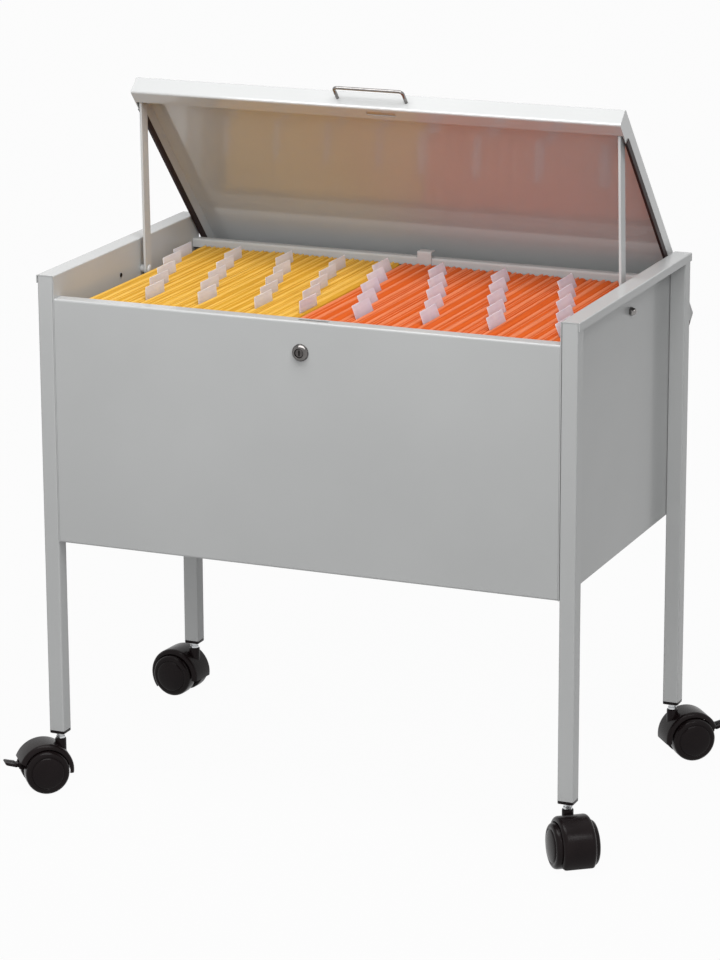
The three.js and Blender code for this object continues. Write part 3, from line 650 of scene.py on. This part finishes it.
def folder_set(kind, body, card_finish, hem_painted_highlight, left, right, count, marks, slant, extra):
    low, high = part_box(kind + "_folders")
    top = high.z / MM
    pitch = (right - left) / count
    cards, hems, bars, tabs = [], [], [], []
    for index in range(count):
        start = left + index * pitch
        lift = random.uniform(-0.9, -0.1)
        bow = random.uniform(-0.9, 0.9)
        turn = random.uniform(-0.9, 0.9)
        if index in (0, count - 1):
            bow = turn = 0.0

        def bend(y, bow=bow, turn=turn, lift=lift):
            t = (y - NEAR) / (FAR - NEAR)
            return bow * math.sin(math.pi * t) + turn * (t - 0.5), top + lift - 0.6 * math.sin(math.pi * t)

        rows = stations(random.uniform(0.0, 4.0))
        crest = pitch * random.uniform(0.26, 0.42)
        first = start + pitch * 0.01
        second = first + crest + 0.12
        end = start + pitch * random.uniform(0.93, 0.985)
        fall = math.tan(deg(random.uniform(7, 16)))
        centre = start + pitch * 0.5
        deep = -238.0 + random.uniform(0, 3)
        width = end - second
        drop = fall * width
        line = [(first + 0.4, -11.0), (first + 0.3, -40.0), (first + pitch * 0.12, -120.0), (centre - 0.5, deep)]
        line += [(centre + 0.5, deep), (end - pitch * 0.12, -120.0), (end - 0.1, -40.0), (end, -drop - 9.0)]
        line += [(end, -drop - 4.4), (end - 0.35, -drop - 2.9), (end - 1.1, -drop - 1.8)]
        for t in (0.8, 0.6, 0.4, 0.2):
            line.append((second + width * t, -1.0 - drop * t ** 1.25))
        line += [(second + 0.8, -1.0), (second + 0.3, -1.3), (second + 0.25, -2.6), (second + 0.3, -12.0)]
        outline, ends = ribbon(line, 0.5)
        cards.append(lengthwise(outline, bend, (second + end) / 2, ends, rows))
        outline, ends = hem(first, crest, 0.0, -16.0)
        hems.append(lengthwise(outline, bend, first + crest / 2, ends, rows))
        # Some folders get one or two thin raised lines in the paler hem colour: painted highlight lines.
        lines = random.choices((0, 1, 2), extra)[0]
        for k in range(lines):
            share = random.uniform(0.18, 0.42) if k == 0 else random.uniform(0.52, 0.74)
            at = second + width * share
            outline, ends = hem(at, random.uniform(0.9, 1.5), -0.35 - drop * share, -3.5 - drop)
            hems.append(lengthwise(outline, bend, at + 0.6, ends, rows))
        for cx in (first + crest / 2, end - 2.0):
            base = top - 12.7
            for y0, y1, out in ((13.4, NEAR + 5, -1), (FAR - 5, 398.6, 1)):
                bars.append(prism([(cx - 0.9, base), (cx + 0.9, base), (cx + 0.9, base + 6.2), (cx - 0.9, base + 6.2)],
                                  y0, y1))
                tip = y0 if out < 0 else y1
                bars.append(prism([(cx - 0.9, base - 5), (cx + 0.9, base - 5), (cx + 0.9, base), (cx - 0.9, base)],
                                  *sorted((tip, tip - out * 1.1))))
    for x, y0 in marks:
        y1 = y0 + random.uniform(51.0, 53.0)
        lean = slant + random.uniform(-0.6, 0.6)
        high_z, low_z = 13.4, -5.0
        outline = rounded([(y0, low_z), (y0 + 0.4, high_z), (y1 - 0.4, high_z), (y1, low_z)], 1.3, 4)
        n = len(outline)
        tv, tf = [], []
        for layer in (-0.4, 0.4):
            for y, z in outline:
                pull = lean * (high_z - z) / high_z
                tv.append((x + layer + pull, y, top + z))
        tf.append(tuple(range(n)))
        tf.append(tuple(reversed(range(n, 2 * n))))
        for i in range(n):
            j = (i + 1) % n
            tf.append((i, j, n + j, n + i))
        tabs.append((tv, tf))
    shift = Matrix.Translation((0, front, 0))
    verts, faces = scaled(gather(cards))
    piece(kind + "_folder_cards", verts, faces, card_finish, body, (kind + "_folders",), shift, 50)
    verts, faces = scaled(gather(hems))
    piece(kind + "_folder_hems", verts, faces, hem_painted_highlight, body, (), shift, 50)
    verts, faces = scaled(gather(bars))
    piece(kind + "_folder_hooks", verts, faces, dark_steel, body, (), shift, 30)
    verts, faces = scaled(gather(tabs))
    piece(kind + "_folder_tabs", verts, faces, film, body, (), shift, 40)


TAB_ROWS = (290, 238, 182, 128, 77)
YELLOW_TABS = (-303, -293, -274, -258, -239, -232, -219, -204, -189, -169,
               -161, -141, -126, -109, -94, -88, -79, -66, -53, -35)
ORANGE_TABS = (-31, -17, -2, 18, 33, 44, 64, 84, 105, 120, 127, 144, 163, 185, 204, 214, 233, 251, 272, 290)
ORANGE_ROWS = (293, 242, 187, 129, 77)
folder_set("yellow", "yellow_files", yellow, yellow_hem_painted_highlight, -306, -28, 20,
           [(x, TAB_ROWS[k % 5]) for k, x in enumerate(YELLOW_TABS)], 0.6, (0.15, 0.5, 0.35))
folder_set("orange", "orange_files", orange, orange_hem_painted_highlight, -26, 306, 20,
           [(x, ORANGE_ROWS[k % 5]) for k, x in enumerate(ORANGE_TABS)], 5.0, (0.4, 0.4, 0.2))


# Floor, light and camera
def seen_white(tree, share):
    path_node = add_node(tree, "ShaderNodeLightPath")
    first = add_node(tree, "ShaderNodeMath", operation="MAXIMUM")
    second = add_node(tree, "ShaderNodeMath", operation="MAXIMUM")
    third = add_node(tree, "ShaderNodeMath", operation="MULTIPLY")
    tree.links.new(path_node.outputs["Is Camera Ray"], first.inputs[0])
    tree.links.new(path_node.outputs["Is Glossy Ray"], first.inputs[1])
    tree.links.new(first.outputs[0], second.inputs[0])
    tree.links.new(path_node.outputs["Is Transmission Ray"], second.inputs[1])
    tree.links.new(second.outputs[0], third.inputs[0])
    third.inputs[1].default_value = share
    return third.outputs[0]


floor_mesh = bpy.data.meshes.new("floor")
floor_mesh.from_pydata([(-30, -30, 0), (30, -30, 0), (30, 30, 0), (-30, 30, 0)], [], [(0, 1, 2, 3)])
floor = bpy.data.objects.new("floor", floor_mesh)
bpy.context.scene.collection.objects.link(floor)
floor.location.z = -0.0002
floor_material = bpy.data.materials.new("pale_floor")
floor_material.use_nodes = True
tree = floor_material.node_tree
tree.nodes.clear()
out = add_node(tree, "ShaderNodeOutputMaterial")
diffuse = add_node(tree, "ShaderNodeBsdfDiffuse", Color=(0.38, 0.38, 0.38, 1))
glow = add_node(tree, "ShaderNodeEmission", Color=(1, 1, 1, 1), Strength=1.0)
mix = add_node(tree, "ShaderNodeMixShader")
tree.links.new(seen_white(tree, 0.965), mix.inputs[0])
tree.links.new(diffuse.outputs[0], mix.inputs[1])
tree.links.new(glow.outputs[0], mix.inputs[2])
tree.links.new(mix.outputs[0], out.inputs["Surface"])
floor_mesh.materials.append(floor_material)

world = bpy.data.worlds.new("studio")
bpy.context.scene.world = world
world.use_nodes = True
tree = world.node_tree
tree.nodes.clear()
out = add_node(tree, "ShaderNodeOutputWorld")
fill = add_node(tree, "ShaderNodeBackground", Color=(0.97, 0.985, 1.0, 1), Strength=0.20)
white = add_node(tree, "ShaderNodeBackground", Color=(1, 1, 1, 1), Strength=1.0)
mix = add_node(tree, "ShaderNodeMixShader")
tree.links.new(seen_white(tree, 1.0), mix.inputs[0])
tree.links.new(fill.outputs[0], mix.inputs[1])
tree.links.new(white.outputs[0], mix.inputs[2])
tree.links.new(mix.outputs[0], out.inputs["Surface"])


def overhead(name, toward, spread_angle, strength, glint=False):
    """Broad soft light from one side of the sky."""
    lamp = bpy.data.lights.new(name, "SUN")
    lamp.angle = deg(spread_angle)
    lamp.energy = strength
    obj = bpy.data.objects.new(name, lamp)
    bpy.context.scene.collection.objects.link(obj)
    obj.location = Vector(toward) * 3
    obj.rotation_euler = Vector(toward).to_track_quat("Z", "Y").to_euler()
    obj.visible_glossy = glint
    return obj


overhead("side_light", (0.55, -0.76, 0.35), 40, 0.58)
overhead("low_light", (0.10, -0.95, 0.25), 60, 0.86)
overhead("spark_light", (0.60, -0.39, 0.70), 14, 0.30, True)
overhead("back_light", (-0.25, 0.93, 0.28), 60, 0.85)

soft_box = bpy.data.lights.new("soft_box", "AREA")
soft_box.shape = "RECTANGLE"
soft_box.size, soft_box.size_y = 1.3, 0.6
soft_box.energy = 14.6
box_obj = bpy.data.objects.new("soft_box", soft_box)
bpy.context.scene.collection.objects.link(box_obj)
box_obj.location = (0.03, -0.55, 1.65)
box_obj.rotation_euler = (box_obj.location - Vector((0, 0, 0.75))).to_track_quat("Z", "Y").to_euler()

camera = bpy.data.cameras.new("camera")
camera.lens = 143.04
camera.sensor_width = 36
view = bpy.data.objects.new("camera", camera)
bpy.context.scene.collection.objects.link(view)
yaw, pitch, roll = deg(22.897), deg(15.531), deg(-0.255)
right = Vector((math.cos(yaw), math.sin(yaw), 0))
ahead = Vector((-math.sin(yaw) * math.cos(pitch), math.cos(yaw) * math.cos(pitch), -math.sin(pitch)))
up = right.cross(ahead)
right, up = right * math.cos(roll) + up * math.sin(roll), up * math.cos(roll) - right * math.sin(roll)
view.matrix_world = Matrix((
    (right.x, up.x, -ahead.x, 1.7617),
    (right.y, up.y, -ahead.y, front - 3.9925),
    (right.z, up.z, -ahead.z, 1.6478),
    (0, 0, 0, 1),
))
camera.clip_start, camera.clip_end = 0.1, 100
bpy.context.scene.camera = view
bpy.context.scene.view_settings.view_transform = "Standard"
